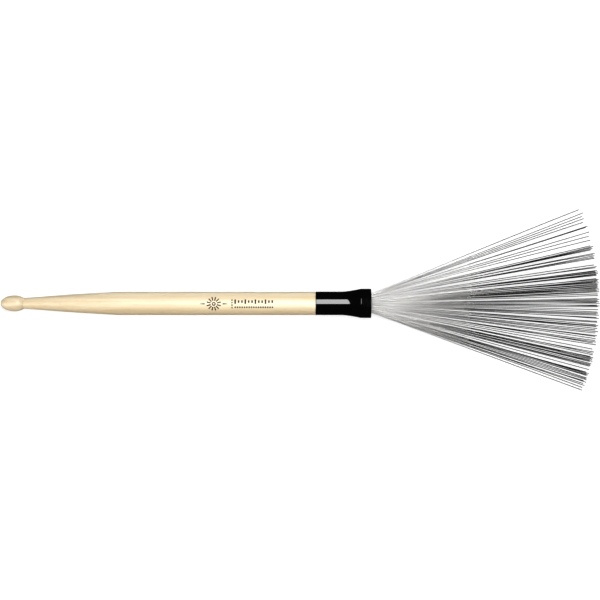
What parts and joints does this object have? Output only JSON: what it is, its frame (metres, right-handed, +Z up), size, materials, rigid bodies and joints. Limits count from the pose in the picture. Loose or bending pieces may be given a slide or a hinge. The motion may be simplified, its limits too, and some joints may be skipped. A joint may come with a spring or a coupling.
{
  "type": "wire drum brush",
  "caption": "Turned hardwood drumstick with an oval bead and a taper, whose butt holds a flat fan of springy steel wires in a flared black sleeve.",
  "frame": {"origin": "centre of the brush's outline on the surface that it lies on; the stick's axis is 2.5 mm to -Y of it, because the fan leans to +Y", "axes": "+X along the stick from its bead to the wire tips, +Z up from the surface that the brush lies on, the fan spread along Y"},
  "size_m": [0.3748, 0.1137, 0.0182],
  "materials": {
    "hickory": "turned pale hickory under thin satin lacquer, with fine grain along the stick",
    "sleeve_black": "smooth gloss black",
    "anchor_steel": "plain machined steel",
    "wire_steel": "bright drawn spring steel wire"
  },
  "bodies": {
    "root": {"stick": "hickory", "sleeve": "sleeve_black", "anchor_yoke": "anchor_steel", "anchor_pin": "anchor_steel"},
    "tuft_1": {"tuft_1_wire_01": "wire_steel", "tuft_1_wire_02": "wire_steel", "tuft_1_wire_03": "wire_steel", "tuft_1_wire_04": "wire_steel", "tuft_1_wire_05": "wire_steel", "tuft_1_wire_06": "wire_steel", "tuft_1_wire_07": "wire_steel", "tuft_1_wire_08": "wire_steel", "tuft_1_wire_09": "wire_steel", "tuft_1_wire_10": "wire_steel", "tuft_1_wire_11": "wire_steel", "tuft_1_wire_12": "wire_steel", "tuft_1_wire_13": "wire_steel"},
    "tuft_2": {"tuft_2_wire_01": "wire_steel", "tuft_2_wire_02": "wire_steel", "tuft_2_wire_03": "wire_steel", "tuft_2_wire_04": "wire_steel", "tuft_2_wire_05": "wire_steel", "tuft_2_wire_06": "wire_steel", "tuft_2_wire_07": "wire_steel", "tuft_2_wire_08": "wire_steel", "tuft_2_wire_09": "wire_steel"},
    "tuft_3": {"tuft_3_wire_01": "wire_steel", "tuft_3_wire_02": "wire_steel", "tuft_3_wire_03": "wire_steel", "tuft_3_wire_04": "wire_steel", "tuft_3_wire_05": "wire_steel", "tuft_3_wire_06": "wire_steel", "tuft_3_wire_07": "wire_steel", "tuft_3_wire_08": "wire_steel", "tuft_3_wire_09": "wire_steel"},
    "tuft_4": {"tuft_4_wire_01": "wire_steel", "tuft_4_wire_02": "wire_steel", "tuft_4_wire_03": "wire_steel", "tuft_4_wire_04": "wire_steel", "tuft_4_wire_05": "wire_steel", "tuft_4_wire_06": "wire_steel", "tuft_4_wire_07": "wire_steel", "tuft_4_wire_08": "wire_steel", "tuft_4_wire_09": "wire_steel"},
    "tuft_5": {"tuft_5_wire_01": "wire_steel", "tuft_5_wire_02": "wire_steel", "tuft_5_wire_03": "wire_steel", "tuft_5_wire_04": "wire_steel", "tuft_5_wire_05": "wire_steel"},
    "tuft_6": {"tuft_6_wire_01": "wire_steel", "tuft_6_wire_02": "wire_steel", "tuft_6_wire_03": "wire_steel", "tuft_6_wire_04": "wire_steel", "tuft_6_wire_05": "wire_steel"},
    "tuft_7": {"tuft_7_wire_01": "wire_steel", "tuft_7_wire_02": "wire_steel", "tuft_7_wire_03": "wire_steel", "tuft_7_wire_04": "wire_steel", "tuft_7_wire_05": "wire_steel"}
  },
  "joints": [
    {"name": "tuft_1_flex", "type": "hinge", "parent": "root", "child": "tuft_1", "pos_m": [0.0383, -0.0025, 0.0091], "axis": [0, -1, 0], "range_deg": [-0.5, 14], "stiffness_Nm_per_rad": 0.1326, "springref_deg": 1.12},
    {"name": "tuft_2_flex", "type": "hinge", "parent": "root", "child": "tuft_2", "pos_m": [0.0383, -0.0025, 0.0091], "axis": [0, -1, 0], "range_deg": [-0.5, 14], "stiffness_Nm_per_rad": 0.0918, "springref_deg": 1.12},
    {"name": "tuft_3_flex", "type": "hinge", "parent": "root", "child": "tuft_3", "pos_m": [0.0383, -0.0025, 0.0091], "axis": [0, -1, 0], "range_deg": [-0.5, 14], "stiffness_Nm_per_rad": 0.0918, "springref_deg": 1.12},
    {"name": "tuft_4_flex", "type": "hinge", "parent": "root", "child": "tuft_4", "pos_m": [0.0383, -0.0025, 0.0091], "axis": [0, -1, 0], "range_deg": [-0.5, 14], "stiffness_Nm_per_rad": 0.0918, "springref_deg": 1.12},
    {"name": "tuft_5_flex", "type": "hinge", "parent": "root", "child": "tuft_5", "pos_m": [0.0383, -0.0025, 0.0091], "axis": [0, -1, 0], "range_deg": [-0.5, 14], "stiffness_Nm_per_rad": 0.051, "springref_deg": 1.12},
    {"name": "tuft_6_flex", "type": "hinge", "parent": "root", "child": "tuft_6", "pos_m": [0.0383, -0.0025, 0.0091], "axis": [0, -1, 0], "range_deg": [-0.5, 14], "stiffness_Nm_per_rad": 0.051, "springref_deg": 1.12},
    {"name": "tuft_7_flex", "type": "hinge", "parent": "root", "child": "tuft_7", "pos_m": [0.0383, -0.0025, 0.0091], "axis": [0, -1, 0], "range_deg": [-0.5, 14], "stiffness_Nm_per_rad": 0.051, "springref_deg": 1.12}
  ]
}
